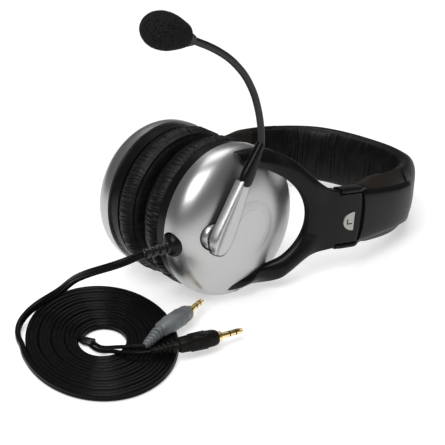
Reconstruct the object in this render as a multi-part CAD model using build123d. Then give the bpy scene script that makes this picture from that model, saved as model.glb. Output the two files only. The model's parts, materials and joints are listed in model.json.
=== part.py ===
from build123d import *
import math
import os

# Over-ear communication headset with a boom microphone, lying on its back.
# Millimetres. Row frame: +X from the ear cups to the headband, +Y to the wearer's right, +Z up.
# The headset is drawn in its own frame (X = worn "up", Y = right, Z = the way the face looks),
# centred between the cups, then tipped so that cups and headband rest on the desk.

# ---- ear cups ----
CUP_R = 48.0            # rim radius of the silver shell
RIM_Y = 27.0            # rim plane, each side of the middle plane
DOME_H = 24.0           # height of the shell above its rim plane
SKIRT_H = 2.5           # straight skirt before the dome starts
DOME_POWER = 2.4        # superellipse exponent of the dome
SHELL_WALL = 2.0
HOUSING_R = 46.6        # black housing band behind the rim
HOUSING_DEPTH = 8.0
CUSHION_R = 47.0
CUSHION_HOLE_R = 25.0
CUSHION_THICK = 16.0
BAFFLE_THICK = 2.0
DRIVER_R = 20.0

# ---- headband arch ----
ARCH_BASE = 100.0       # height above the cup axis where the arch is widest
ARCH_RISE = 71.0        # from there to the top of the band
ARCH_HALF_WIDTH = 71.0
ARCH_POWER = 2.4
ARCH_TOE_IN = 0.0018    # inward curve of the sides below the widest point
KNUCKLE_X = 75.0        # where the arch ends, above the cup axis
COVER_END_X = 131.0     # mouth of the end cover
BAND_HALF_W = 20.0
COVER_SKIN = 2.4
STRIP_THICK = 0.8
PAD_THICK = 9.5

# ---- knuckle and yoke ----
PIN_X = 66.0
PIN_Y = 63.5
PIN_R = 1.6
PIN_PLAY = 0.05
EAR_INNER = 17.0        # ears start here, each side of the middle of the band
EAR_OUTER = 20.8
EAR_R = 6.0
KNUCKLE_R = 12.0
KNUCKLE_GAP = 0.8
YOKE_PLAY = 1.3         # yoke to dome
SWIVEL_DEG = 5.0
SWIVEL_X = 4.0
SWIVEL_T = 14.0         # height of the swivel axis above the rim plane
PIVOT_R = 2.0
PIVOT_INNER = 38.0      # the pivot pins run between these distances from the cup axis
PIVOT_OUTER = 46.0
BUSH_F = 41.0           # middle of the bushes in the shell

# ---- boom ----
HUB_X = -27.5
HUB_R = 8.0
HUB_TOP = 22.8
HUB_FLOOR = 14.0
BOOM_T = 27.2           # height of the boom's own plane above the rim plane
GOOSE_R = 2.1
CAPSULE_R = 4.6

# ---- lead, coil and plugs, in the row frame ----
CORD_W = 5.0            # the twin lead is wound on edge: 5 mm high, 2.4 mm thick
STRAND = 2.4
COIL_CENTRE = (-145.3, -20.4)
COIL_LONG = 65.3
COIL_SHORT = 45.8
COIL_TURN_DEG = 66.6
HOLE_CENTRE = (-146.1, -25.2)
HOLE_LONG = 17.0
HOLE_SHORT = 12.0

# ---- resting attitude ----
CENTRE_X = 49.7         # cup axis to the middle of the resting outline
CUP_LIFT = 48.0         # the cups rest on their rims
PITCH = math.degrees(
    math.asin(CUP_LIFT / math.hypot(ARCH_BASE + ARCH_RISE, BAND_HALF_W))
    - math.atan2(BAND_HALF_W, ARCH_BASE + ARCH_RISE)
)
WORN = Location((-CENTRE_X, 0, CUP_LIFT), (0, PITCH, 0))
LEFT_CUP = Plane(origin=(0, -RIM_Y, 0), x_dir=(1, 0, 0), z_dir=(0, -1, 0)).location


# ---------------------------------------------------------------- helpers
def superellipse(width, height, power, steps, start=0.0):
    """Points of a quarter superellipse, from (width, 0) to (0, height)."""
    exponent = 2.0 / power
    points = []
    for i in range(steps + 1):
        angle = math.radians(start + (90.0 - start) * i / steps)
        points.append((width * math.cos(angle) ** exponent if i < steps else 0.0,
                       height * math.sin(angle) ** exponent if angle > 0 else 0.0))
    return points


def turned(*points):
    """Solid of revolution about Z of a polygon given as (radius, height)."""
    face = make_face(Plane.XZ * Polyline(*points, close=True))
    return revolve(face, Axis.Z)


def dome(grow=0.0, base=0.0):
    """The cup's outer form, grown evenly: a straight skirt, then a superellipse crown."""
    radius = CUP_R + grow
    crown = DOME_H - SKIRT_H + grow
    points = [(x, SKIRT_H + z) for x, z in superellipse(radius, crown, DOME_POWER, 8)]
    curve = Plane.XZ * Spline(*points, tangents=[(0, 1), (-1, 0)])
    rest = Plane.XZ * Polyline(points[-1], (0, base), (radius, base), points[0])
    return revolve(make_face(curve + rest), Axis.Z)


def disc(radius, height, x=0.0, y=0.0, z=0.0):
    """Cylinder standing on z."""
    return Pos(x, y, z) * Cylinder(radius, height, align=(Align.CENTER, Align.CENTER, Align.MIN))


def rod(start, end, radius, end_radius=None):
    """Round bar, or a taper, between two points."""
    a = Vector(start)
    b = Vector(end)
    where = Plane(origin=a, z_dir=b - a).location
    length = (b - a).length
    align = (Align.CENTER, Align.CENTER, Align.MIN)
    if end_radius is None:
        return where * Cylinder(radius, length, align=align)
    return where * Cone(radius, end_radius, length, align=align)


def other_side(shape):
    """The right-hand copy of a left-hand piece."""
    return mirror(shape, about=Plane.XZ)


# ---------------------------------------------------------------- arch of the headband
def arch_side(x):
    """Half width of the arch below its widest height."""
    return ARCH_HALF_WIDTH - ARCH_TOE_IN * (ARCH_BASE - x) ** 2


def arch_table():
    """Outer surface of the left half: points from the knuckle to the top, with running length."""
    points = []
    side_steps = 12
    for i in range(side_steps):
        x = KNUCKLE_X + (ARCH_BASE - KNUCKLE_X) * i / side_steps
        points.append((x, -arch_side(x)))
    for y, x in superellipse(ARCH_HALF_WIDTH, ARCH_RISE, ARCH_POWER, 90):
        points.append((ARCH_BASE + x, -y))
    lengths = [0.0]
    for a, b in zip(points, points[1:]):
        lengths.append(lengths[-1] + math.dist(a, b))
    return points, lengths


ARCH_POINTS, ARCH_LENGTHS = arch_table()
ARCH_HALF_LENGTH = ARCH_LENGTHS[-1]


def arch_at(length, offset=0.0):
    """Point at a running length (to twice the half length), moved outward by offset."""
    run = length if length <= ARCH_HALF_LENGTH else 2 * ARCH_HALF_LENGTH - length
    run = max(run, 0.0)
    i = max(k for k in range(len(ARCH_LENGTHS) - 1) if ARCH_LENGTHS[k] <= run)
    a = Vector(*ARCH_POINTS[i])
    b = Vector(*ARCH_POINTS[i + 1])
    share = (run - ARCH_LENGTHS[i]) / (ARCH_LENGTHS[i + 1] - ARCH_LENGTHS[i])
    spot = a + (b - a) * share
    along = (b - a).normalized()
    out = Vector(along.Y, -along.X)
    spot = spot + out * offset
    return (spot.X, spot.Y) if length <= ARCH_HALF_LENGTH else (spot.X, -spot.Y)


def length_at_x(x):
    """Running length where the left side of the arch reaches a height."""
    return min(zip(ARCH_LENGTHS, ARCH_POINTS), key=lambda entry: abs(entry[1][0] - x))[0]


def arch_solid(start, end, inner, outer, half_width, steps=12):
    """Bar that follows the arch: from start to end, between two offsets."""
    stations = [start + (end - start) * i / steps for i in range(steps + 1)]
    outside = Spline(*[arch_at(s, outer) for s in stations])
    inside = Spline(*[arch_at(s, inner) for s in stations])
    near = Line(outside @ 0, inside @ 0)
    far = Line(outside @ 1, inside @ 1)
    face = make_face([outside, far, inside, near])
    return extrude(face, half_width, both=True)


MOUTH = length_at_x(COVER_END_X)
PAD_START = MOUTH + 0.6
FULL = 2 * ARCH_HALF_LENGTH
STRIP_START = MOUTH - 32.0


def spring_strip():
    """Spring steel strip through the whole band, into both end covers."""
    return arch_solid(STRIP_START, FULL - STRIP_START, -COVER_SKIN - 1.2 - STRIP_THICK, -COVER_SKIN - 1.2, 7.0, 24)


def band_cover():
    """Outer skin of the padded band, turned over along both edges."""
    skin = arch_solid(PAD_START, FULL - PAD_START, -COVER_SKIN, 0, BAND_HALF_W, 24)
    return skin


def headband_cushion():
    """Pad on the inside of the band, with a channel for strip and wire."""
    pad = arch_solid(PAD_START, FULL - PAD_START, -COVER_SKIN - PAD_THICK, -COVER_SKIN, 19.5, 24)
    channel = arch_solid(PAD_START - 1, FULL - PAD_START + 1, -COVER_SKIN - 2.3, -COVER_SKIN + 1, 11.5, 24)
    return pad - channel


def interconnect_wire():
    """Thin lead between the cups, beside the strip."""
    wire = arch_solid(STRIP_START, FULL - STRIP_START, -COVER_SKIN - 1.9, -COVER_SKIN - 0.5, 0.7, 24)
    return Pos(0, 0, 9.3) * wire


# ---------------------------------------------------------------- end cover with hinge ears
def end_cover():
    """Outer shell of the band's end: a trough with two ears for the hinge pin."""
    trough = arch_solid(0, MOUTH, -7.0, 1.5, 21.3)
    trough -= arch_solid(-1, MOUTH + 1, -8.0, -0.7, 19.0)
    ear = Pos(PIN_X, -PIN_Y) * Circle(EAR_R)
    root = Pos(KNUCKLE_X + 7, -PIN_Y - 1.5) * Circle(EAR_R)
    ear_face = make_hull([*ear.edges(), *root.edges()])
    ears = extrude(ear_face, EAR_OUTER, both=True) - extrude(ear_face, EAR_INNER, both=True)
    swept = Pos(PIN_X, -PIN_Y) * Cylinder(KNUCKLE_R + KNUCKLE_GAP, 2 * EAR_INNER)
    body = trough - swept + ears
    bore = Pos(PIN_X, -PIN_Y) * Cylinder(PIN_R, 2 * EAR_OUTER - 2.4)
    return body - bore


def end_liner():
    """Inner plate that closes the end cover, with the slot of the length adjustment."""
    plate = arch_solid(12.0, MOUTH, -12.0, -7.2, 19.8)
    plate -= arch_solid(11.0, MOUTH + 1, -10.2, -6.0, 17.6)
    slot_at = arch_at(34.0, -11.0)
    plate -= Pos(slot_at[0], slot_at[1]) * Rot(0, 0, 8) * Box(16, 8, 3.0)
    return plate


def cover_screws():
    """Two screws that hold the liner to the cover."""
    screws = []
    for run in (18.0, 48.0):
        inner = arch_at(run, -11.6)
        outer = arch_at(run, -1.0)
        for side in (-1, 1):
            z = side * 14.5
            screws.append(rod((*inner, z), (*outer, z), 1.1) + rod((*arch_at(run, -12.0), z),
                                                                  (*inner, z), 2.0))
    return Compound(children=screws)


def hinge_pin():
    """Steel pin through ears and yoke block, pressed into the ears."""
    return Pos(PIN_X, -PIN_Y) * Cylinder(PIN_R, 2 * EAR_OUTER - 2.4)


# ---------------------------------------------------------------- yoke
YOKE_OUTER = [(-8, 16.0), (0, 18.8), (10, 22.0), (22, 27.8), (34, 32.0), (46, 35.8), (58, 39.6), (66, 41.6)]
YOKE_INNER = [(-8, 8.0), (0, 9.8), (10, 13.5), (22, 19.6), (34, 25.2), (46, 29.2), (58, 32.0), (66, 33.0)]
YOKE_OUTLINE = [(-8, 45.2), (2, 46.7), (9, 46.2), (17, 43.9), (26, 39.6), (35, 33.2), (42, 26.4), (49, 21.4),
                (60, 19.4)]
LOOP_CENTRE_X = -4.0
LOOP_HALF_L = 45.0
LOOP_HALF_H = 35.6


def yoke_side_strip():
    """The yoke seen along its front-to-back axis: a bar that curves from the cup to the pin."""
    outer = Spline(*[(x, -RIM_Y - t) for x, t in YOKE_OUTER])
    inner = Spline(*[(x, -RIM_Y - t) for x, t in YOKE_INNER])
    face = make_face([outer, inner, Line(outer @ 0, inner @ 0), Line(outer @ 1, inner @ 1)])
    return extrude(face, 60, both=True)


def yoke_outline():
    """The yoke seen from the side of the head: a D ring that ends in the hinge block."""
    upper = Spline(*YOKE_OUTLINE)
    lower = Spline(*[(x, -z) for x, z in YOKE_OUTLINE])
    end_x = YOKE_OUTLINE[-1][0]
    tip_x, tip_z = YOKE_OUTLINE[0]
    face = make_face([upper, lower, Line((tip_x, tip_z), (tip_x, -tip_z)),
                      Line(upper @ 1, lower @ 1)])
    block = Pos((end_x + PIN_X) / 2 - 1, 0) * Rectangle(PIN_X - end_x + 2, 2 * (EAR_INNER - 0.4))
    loop = Pos(LOOP_CENTRE_X, 0) * Ellipse(LOOP_HALF_L, LOOP_HALF_H)
    flat = face + block - loop
    return Plane(origin=(0, 0, 0), x_dir=(1, 0, 0), z_dir=(0, -1, 0)) * flat


def yoke_body():
    """D-shaped yoke with its knuckle end, cleared for the cup at every swivel angle."""
    ring = extrude(yoke_outline(), 90)
    body = yoke_side_strip() & ring
    knuckle = Pos(PIN_X, -PIN_Y) * Cylinder(KNUCKLE_R, 2 * (EAR_INNER - 0.4))
    slab = Pos(PIN_X, -PIN_Y - 0.6) * Rot(0, 0, -10) * Box(4 * KNUCKLE_R, 9.2, 2 * EAR_INNER)
    body = body + (knuckle & slab)
    body -= Pos(PIN_X, -PIN_Y) * Cylinder(PIN_R + PIN_PLAY, 3 * EAR_OUTER)
    for side in (-1, 1):
        body -= Pos(PIN_X, -PIN_Y, side * (EAR_INNER + 14.6)) * Cylinder(EAR_R + 0.8, 30)
    axis_y = -RIM_Y - SWIVEL_T
    for share in (-1.0, -0.5, 0.0, 0.5, 1.0):
        turn = Pos(SWIVEL_X, axis_y) * Rot(0, 0, share * SWIVEL_DEG) * Pos(-SWIVEL_X, -axis_y)
        body -= turn * LEFT_CUP * dome(YOKE_PLAY, -12)
    for side in (-1, 1):
        body -= rod((SWIVEL_X, axis_y, side * 34), (SWIVEL_X, axis_y, side * PIVOT_OUTER), PIVOT_R)
    return body


def pivot_pins():
    """Front and rear pins that carry the cup in the yoke."""
    pins = []
    for side in (-1, 1):
        pins.append(rod((SWIVEL_X, -RIM_Y - SWIVEL_T, side * PIVOT_INNER),
                        (SWIVEL_X, -RIM_Y - SWIVEL_T, side * PIVOT_OUTER), PIVOT_R))
    return Compound(children=pins)


def badge():
    """Half-round side mark let into the outer face of the hinge block."""
    shield = Circle(6.0) & Pos(-3.5, 0) * Rectangle(7, 12)
    plate = extrude(shield, 1.0)
    spot = (71.6, -RIM_Y - 41.9, 0)
    where = Plane(origin=spot, x_dir=(1, -0.176, 0), z_dir=(-0.176, -1, 0)).location
    return where * plate


# ---------------------------------------------------------------- cup, in its own frame (Z outward)
def pivot_bush(side, radius, length=5.2):
    return Pos(SWIVEL_X, side * BUSH_F, SWIVEL_T) * Rot(90, 0, 0) * Cylinder(radius, length)


def shell(with_boom):
    """Silver dome: wall, cable notch and recess for the boom hub on the left cup."""
    body = dome() - Pos(0, 0, -0.01) * (dome(-SHELL_WALL, 0))
    for side in (-1, 1):
        body -= pivot_bush(side, PIVOT_R + 1.6, 8)
    if with_boom:
        body -= disc(HUB_R + 0.8, 20, HUB_X, 0, HUB_FLOOR)
        floor = disc(HUB_R + 2.4, 2.0, HUB_X, 0, HUB_FLOOR - 2.0)
        wall = disc(HUB_R + 2.4, 12, HUB_X, 0, HUB_FLOOR) - disc(HUB_R + 0.8, 12, HUB_X, 0, HUB_FLOOR)
        body += (floor + wall) & dome()
        body -= disc(3.0 + PIN_PLAY, 12, HUB_X, 0, HUB_FLOOR - 6)
        body -= gland_form(0.0)
    return body


def gland_form(shrink):
    """Oval plug form of the cable entry, along the chin side of the rim."""
    oval = Ellipse(7.4 - shrink, 6.6 - shrink)
    bar = extrude(Plane(origin=(-36, -6.0, 5.6), x_dir=(0, 1, 0), z_dir=(-1, 0, 0)) * oval, 14)
    return bar & disc(60, 30, z=0.2)


def cable_gland():
    """Black bushing let into the shell where the lead leaves it."""
    bar = gland_form(0.05) & dome(-0.6)
    hole = rod(RELIEF_START_CUP, RELIEF_END_CUP, RELIEF_R1)
    return bar - hole


def pivot_bushes():
    """Bushes in the shell for the front and rear pivot pins."""
    parts = []
    for side in (-1, 1):
        ring = pivot_bush(side, PIVOT_R + 1.55) - pivot_bush(side, PIVOT_R + PIN_PLAY, 9)
        parts.append(ring & dome(-0.2))
    return Compound(children=parts)


def housing():
    """Black housing band behind the shell's rim, with a lip for the cushion."""
    ring = turned((HOUSING_R, -HOUSING_DEPTH), (HOUSING_R, -0.05), (HOUSING_R - 2.2, -0.05),
                  (HOUSING_R - 2.2, -HOUSING_DEPTH + 3.0), (38.0, -HOUSING_DEPTH + 3.0),
                  (38.0, -HOUSING_DEPTH))
    return ring


def baffle():
    """Plate that carries the driver."""
    plate = disc(43.9, BAFFLE_THICK, z=-HOUSING_DEPTH + 3.1)
    plate -= disc(DRIVER_R - 1.2, 9, z=-HOUSING_DEPTH)
    for k in range(8):
        angle = math.radians(22.5 + 45 * k)
        plate -= disc(2.2, 9, 30 * math.cos(angle), 30 * math.sin(angle), -HOUSING_DEPTH)
    return plate


BAFFLE_TOP = -HOUSING_DEPTH + 3.1 + BAFFLE_THICK


def driver_frame():
    """Round plastic basket of the 40 mm driver."""
    return turned((DRIVER_R, BAFFLE_TOP), (DRIVER_R, BAFFLE_TOP + 2.5), (11.0, BAFFLE_TOP + 6.0),
                  (8.0, BAFFLE_TOP + 6.0), (8.0, BAFFLE_TOP + 4.6), (10.6, BAFFLE_TOP + 4.6),
                  (18.4, BAFFLE_TOP + 1.4), (18.4, BAFFLE_TOP))


def driver_magnet():
    """Magnet and pole pot."""
    pot = disc(7.9, 7.0, z=BAFFLE_TOP + 2.0)
    gap = disc(5.2, 3.0, z=BAFFLE_TOP + 1.9) - disc(4.2, 3.1, z=BAFFLE_TOP + 1.9)
    return pot - gap


def driver_diaphragm():
    """Thin domed diaphragm with its voice coil."""
    skin = turned((18.3, BAFFLE_TOP + 0.1), (18.3, BAFFLE_TOP + 0.4), (10.0, BAFFLE_TOP + 1.4),
                  (0, BAFFLE_TOP + 1.4), (0, BAFFLE_TOP + 1.1), (9.9, BAFFLE_TOP + 1.1))
    coil = disc(4.9, 2.2, z=BAFFLE_TOP + 1.3) - disc(4.5, 2.4, z=BAFFLE_TOP + 1.2)
    return skin + coil


def driver_screws():
    """Three screws with washers that clamp the driver to the baffle."""
    screws = []
    for k in range(3):
        angle = math.radians(60 + 120 * k)
        x = 22.5 * math.cos(angle)
        y = 22.5 * math.sin(angle)
        screws.append(disc(2.4, 1.4, x, y, BAFFLE_TOP) + disc(1.0, 1.6, x, y, BAFFLE_TOP - 1.6))
    return Compound(children=screws)


def damping_foam():
    """Foam disc that fills the back of the shell behind the driver."""
    return disc(16.0, 3.0, 8.0, 0, BAFFLE_TOP + 9.4)


def ear_cushion():
    """Ring cushion against the wearer's head."""
    back = -HOUSING_DEPTH - 0.05
    front = back - CUSHION_THICK
    half = CUSHION_THICK / 2
    ring = turned((CUSHION_R - 2, back), (CUSHION_R, back - half), (CUSHION_R - 3.5, front + 1.5),
                  (CUSHION_R - 8, front), (CUSHION_HOLE_R + 5, front), (CUSHION_HOLE_R + 1, front + 2.5),
                  (CUSHION_HOLE_R, back - half), (CUSHION_HOLE_R + 1, back))
    return ring


def scrim():
    """Thin cloth over the driver, inside the cushion's hole."""
    return disc(37.5, 0.8, z=-HOUSING_DEPTH + 0.8)


def ridge():
    """Silver ridge on the right shell, the pair of the left cup's boom mount."""
    fin = extrude(Plane.XZ * make_face(Polyline((-12, 0), (12, 0), (6, 4.0), (-4, 4.0), close=True)),
                  1.6, both=True)
    where = Pos(-6, 31.0, 19.4) * Rot(-46, 0, 0) * Rot(0, 0, 12)
    return (where * fin) - dome(0.02)


# ---------------------------------------------------------------- boom, in the cup's frame
ARM_FOOT = (-25.0, -3.0)
ARM_TIP = (-8.5, 32.5)
ARM_BASE_T = 24.4
ARM_HEIGHT = 5.4
ARM_FOOT_R = 8.2
ARM_TIP_R = 3.2
ARM_DRAFT = 2.1         # how much smaller the arm is at its crest
COLLAR_END = (-1.4, 53.0)
NECK = [(-1.4, 53.0), (-2.6, 62.5), (-5.4, 72.5), (-10.6, 84.5), (-19.0, 96.0), (-31.0, 106.0),
        (-45.0, 113.2), (-60.0, 118.4)]
MIC_TAIL = (-60.0, 118.4)
MIC_END = (-94.0, 126.6)


def boom_hub():
    """Turntable of the boom in the shell's recess, with its axle."""
    top = disc(HUB_R, HUB_TOP - HUB_FLOOR - 0.4, HUB_X, 0, HUB_FLOOR + 0.4)
    axle = disc(3.0, 7.0, HUB_X, 0, HUB_FLOOR - 5.5)
    return top + axle


def boom_clip():
    """Spring washer that holds the axle inside the shell and gives it its drag."""
    return disc(5.2, 1.2, HUB_X, 0, HUB_FLOOR - 3.5) - disc(3.0, 3, HUB_X, 0, HUB_FLOOR - 4.5)


def arm_section(height, shrink):
    """Outline of the boom arm at a height above the rim plane."""
    foot = Pos(*ARM_FOOT) * Circle(ARM_FOOT_R - shrink)
    tip = Pos(*ARM_TIP) * Circle(ARM_TIP_R - shrink)
    return Pos(0, 0, height) * make_face(make_hull([*foot.edges(), *tip.edges()]).edges())


def boom_arm():
    """Tapered silver arm from the hub to the neck."""
    arm = loft([arm_section(ARM_BASE_T, 0.0), arm_section(ARM_BASE_T + ARM_HEIGHT, ARM_DRAFT)], ruled=True)
    root = disc(5.0, ARM_BASE_T - HUB_TOP, HUB_X + 2.0, 0, HUB_TOP)
    return arm + root - rod((*ARM_TIP, BOOM_T), (*COLLAR_END, BOOM_T), 2.3)


def boom_collar():
    """Black sleeve between arm and neck."""
    along = Vector(*COLLAR_END) - Vector(*ARM_TIP)
    step = along.normalized()
    start = Vector(*ARM_TIP) + step * 3.4
    sleeve = rod((start.X, start.Y, BOOM_T), (*COLLAR_END, BOOM_T), 3.6, 2.9)
    spigot = rod((*ARM_TIP, BOOM_T), (start.X, start.Y, BOOM_T), 2.25)
    return sleeve + spigot


def gooseneck():
    """Flexible metal neck in its black sheath, bent as it lies."""
    radii = []
    for a, b, c in zip(NECK, NECK[1:], NECK[2:]):
        first = Vector(*b) - Vector(*a)
        second = Vector(*c) - Vector(*b)
        half = math.radians(first.get_angle(second)) / 2
        radii.append(0.45 * min(first.length, second.length) / math.tan(half))
    path = FilletPolyline(*[(x, y, BOOM_T) for x, y in NECK], radius=radii)
    section = Plane(origin=path @ 0, z_dir=path % 0) * Circle(GOOSE_R)
    return sweep(section, path=path)


def mic_axis(share, side=0.0):
    """Point along the microphone's axis, moved sideways by side."""
    a = Vector(*MIC_TAIL)
    b = Vector(*MIC_END)
    along = (b - a).normalized()
    spot = a + (b - a) * share + Vector(-along.Y, along.X) * side
    return (spot.X, spot.Y, BOOM_T)


def mic_housing():
    """Small capsule housing on the end of the neck, open at the front."""
    tail = rod(mic_axis(0.0), mic_axis(0.14), GOOSE_R + 0.9, CAPSULE_R)
    barrel = rod(mic_axis(0.14), mic_axis(0.45), CAPSULE_R)
    return tail + barrel - rod(mic_axis(0.26), mic_axis(0.5), CAPSULE_R - 0.9)


def mic_capsule():
    """Electret capsule."""
    return rod(mic_axis(0.28), mic_axis(0.44), CAPSULE_R - 0.95)


def windscreen():
    """Pear-shaped foam sock, pulled over the capsule housing."""
    length = math.dist(MIC_TAIL, MIC_END)
    where = Plane(origin=mic_axis(0.0), z_dir=Vector(*mic_axis(1.0)) - Vector(*mic_axis(0.0))).location
    edge = [(4.2, 1.0), (5.6, 6.0), (8.6, 13.0), (10.3, 20.5), (9.2, 28.0), (5.4, 32.6)]
    curve = Plane.XZ * Spline(*edge, (0, length), tangents=[(0.3, 1), (-1, 0)])
    rest = Plane.XZ * Polyline((0, length), (0, 1.0), edge[0])
    pear = where * revolve(make_face(curve + rest), Axis.Z)
    pear -= rod(mic_axis(-0.1), mic_axis(0.14), 3.05, CAPSULE_R + 0.05)
    return pear - rod(mic_axis(0.14), mic_axis(0.452), CAPSULE_R + 0.05)


# ---------------------------------------------------------------- lead, coil and plugs
RELIEF_START_CUP = (-37.6, -5.4, 4.8)
RELIEF_END_CUP = (-67.0, -8.6, 4.2)
RELIEF_R1 = 4.3
RELIEF_R2 = 2.9
LEAD_EXIT = (WORN * LEFT_CUP * Pos(*RELIEF_END_CUP)).position

LEAD_ROUTE = [
    (-126.2, -30.4, 50.0),
    (-134.1, -26.0, 48.0),
    (-139.2, -17.5, 44.1),
    (-141.3, -7.3, 38.6),
    (-141.4, 3.5, 31.8),
    (-140.9, 11.3, 25.9),
    (-142.6, 18.2, 19.2),
    (-146.6, 24.0, 14.3),
    (-152.8, 27.9, 10.8),
    (-160.5, 29.0, 7.8),
    (-168.0, 27.0, 5.3),
    (-174.2, 21.8, 3.7),
    (-178.5, 14.7, 2.7),
    (-181.4, 5.7, 2.5),
]
GREY_ROUTE = [
    (-149.2, -17.8, 1.4),
    (-150.8, -25.6, 1.6),
    (-149.5, -32.5, 3.1),
    (-147.2, -40.0, 5.9),
    (-143.6, -47.0, 7.4),
]
BLACK_ROUTE = [
    (-152.6, -19.2, 1.6),
    (-154.2, -27.1, 1.8),
    (-153.4, -34.7, 3.3),
    (-151.6, -42.4, 6.2),
    (-149.4, -50.6, 7.4),
    (-145.7, -57.1, 8.4),
]
GREY_PLUG = [(-138.0, -54.0, 8.4), (-123.4, -49.4, 9.8), (-96.6, -44.5, 9.4), (-79.1, -38.4, 8.0)]
BLACK_PLUG = [(-140.2, -62.0, 9.0), (-126.3, -68.8, 9.6), (-102.8, -76.4, 8.0), (-88.5, -79.8, 7.1)]
PLUG_BODY_R = 5.0
PLUG_NECK_R = 2.6
PIN_35_R = 1.75


def corner_radii(points, name, thickness):
    """Largest arcs that the runs allow, printed with the tightest in diameters."""
    radii = []
    for a, b, c in zip(points, points[1:], points[2:]):
        first = b - a
        second = c - b
        half = math.radians(first.get_angle(second)) / 2
        radii.append(0.45 * min(first.length, second.length) / math.tan(half))
    print(name, "radii", [round(r, 1) for r in radii], "tightest", round(min(radii) / thickness, 1), "d")
    return radii


def cord_tube(start, route, end, thickness, name):
    """Tube of straight runs and tangent arcs along a route."""
    points = [Vector(start)] + [Vector(p) for p in route]
    if end is not None:
        points.append(Vector(end))
    path = FilletPolyline(*points, radius=corner_radii(points, name, thickness))
    section = Plane(origin=path @ 0, z_dir=path % 0) * Circle(thickness / 2)
    tube = sweep(section, path=path)
    ideal = math.pi * thickness ** 2 / 4 * path.length
    print(name, "length", round(path.length, 1), "volume ratio", round(tube.volume / ideal, 4))
    return tube


def strain_relief():
    """Tapered, ribbed rubber sleeve over the first stretch of the lead."""
    sleeve = rod(RELIEF_START_CUP, RELIEF_END_CUP, RELIEF_R1 - 0.8, RELIEF_R2 - 0.3)
    a = Vector(RELIEF_START_CUP)
    b = Vector(RELIEF_END_CUP)
    ribs = 8
    for k in range(ribs):
        share = 0.06 + 0.88 * k / (ribs - 1)
        radius = RELIEF_R1 + (RELIEF_R2 - RELIEF_R1) * share - 0.05
        spot = a + (b - a) * share
        sleeve += rod(spot, spot + (b - a).normalized() * 1.7, radius)
    return sleeve


def cord_coil():
    """Outer shape of the wound lead: an oval ring, one lead high."""
    outer = Pos(*COIL_CENTRE) * Rot(0, 0, COIL_TURN_DEG) * Ellipse(COIL_LONG, COIL_SHORT)
    hole = Pos(*HOLE_CENTRE) * Rot(0, 0, COIL_TURN_DEG) * Ellipse(HOLE_LONG, HOLE_SHORT)
    return extrude(outer - hole, CORD_W)


def plug_body(points):
    """Moulded grip of a 3.5 mm plug with its ribbed tail."""
    tail, waist, nose, _ = [Vector(p) for p in points]
    grip = rod(waist, nose, PLUG_BODY_R - 0.6, PLUG_BODY_R)
    sleeve = rod(tail, waist, PLUG_NECK_R - 0.6, PLUG_NECK_R)
    ribs = 6
    for k in range(ribs):
        share = 0.04 + 0.86 * k / (ribs - 1)
        spot = tail + (waist - tail) * share
        sleeve += rod(spot, spot + (waist - tail).normalized() * 1.3, PLUG_NECK_R + 0.2 + 1.2 * share)
    return grip + sleeve


def plug_pin(points):
    """Gold-plated 3.5 mm jack pin."""
    nose = Vector(points[2])
    tip = Vector(points[3])
    along = (tip - nose).normalized()
    collar = rod(nose, nose + along * 2.0, 3.0)
    shaft_end = nose + along * 13.6
    neck = nose + along * 14.4
    shaft = rod(nose + along * 2.0, shaft_end, PIN_35_R)
    return collar + shaft + rod(shaft_end, neck, PIN_35_R, 1.1) + rod(neck, neck + along * 2.0, 1.6, 0.6)


# ---------------------------------------------------------------- assembly
def collect():
    """Every node of the object in the row frame."""
    nodes = {}
    cup = WORN * LEFT_CUP

    for side in ("left", "right"):
        def place(name, shape, local):
            worn = local * shape
            if side == "right":
                worn = other_side(worn)
            nodes[f"{side}_{name}"] = WORN * worn

        head = Location()
        place("end_cover", end_cover(), head)
        place("end_liner", end_liner(), head)
        place("cover_screws", cover_screws(), head)
        place("hinge_pin", hinge_pin(), head)
        place("yoke", yoke_body() - badge(), head)
        place("badge", badge(), head)
        place("pivot_pins", pivot_pins(), head)
        place("shell", shell(side == "left"), LEFT_CUP)
        place("pivot_bushes", pivot_bushes(), LEFT_CUP)
        place("housing", housing(), LEFT_CUP)
        place("baffle", baffle(), LEFT_CUP)
        place("driver_frame", driver_frame(), LEFT_CUP)
        place("driver_magnet", driver_magnet(), LEFT_CUP)
        place("driver_diaphragm", driver_diaphragm(), LEFT_CUP)
        place("driver_screws", driver_screws(), LEFT_CUP)
        place("damping_foam", damping_foam(), LEFT_CUP)
        place("ear_cushion", ear_cushion(), LEFT_CUP)
        place("scrim", scrim(), LEFT_CUP)
        if side == "right":
            place("ridge", ridge(), LEFT_CUP)

    nodes["spring_strip"] = WORN * spring_strip()
    nodes["band_cover"] = WORN * band_cover()
    nodes["headband_cushion"] = WORN * headband_cushion()
    nodes["interconnect_wire"] = WORN * interconnect_wire()

    nodes["cable_gland"] = cup * cable_gland()
    nodes["boom_clip"] = cup * boom_clip()
    nodes["boom_hub"] = cup * boom_hub()
    nodes["boom_arm"] = cup * boom_arm()
    nodes["boom_collar"] = cup * boom_collar()
    nodes["gooseneck"] = cup * gooseneck()
    nodes["mic_housing"] = cup * mic_housing()
    nodes["mic_capsule"] = cup * mic_capsule()
    nodes["windscreen"] = cup * windscreen()

    nodes["strain_relief"] = cup * strain_relief()
    nodes["lead_cord"] = cord_tube(LEAD_EXIT, LEAD_ROUTE, None, CORD_W, "lead")
    nodes["cord_coil"] = cord_coil()
    nodes["grey_branch"] = cord_tube(GREY_ROUTE[0], GREY_ROUTE[1:], GREY_PLUG[0], STRAND, "grey")
    nodes["black_branch"] = cord_tube(BLACK_ROUTE[0], BLACK_ROUTE[1:], BLACK_PLUG[0], STRAND, "black")
    nodes["grey_plug_body"] = plug_body(GREY_PLUG)
    nodes["grey_plug_pin"] = plug_pin(GREY_PLUG)
    nodes["black_plug_body"] = plug_body(BLACK_PLUG)
    nodes["black_plug_pin"] = plug_pin(BLACK_PLUG)
    return nodes


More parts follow.
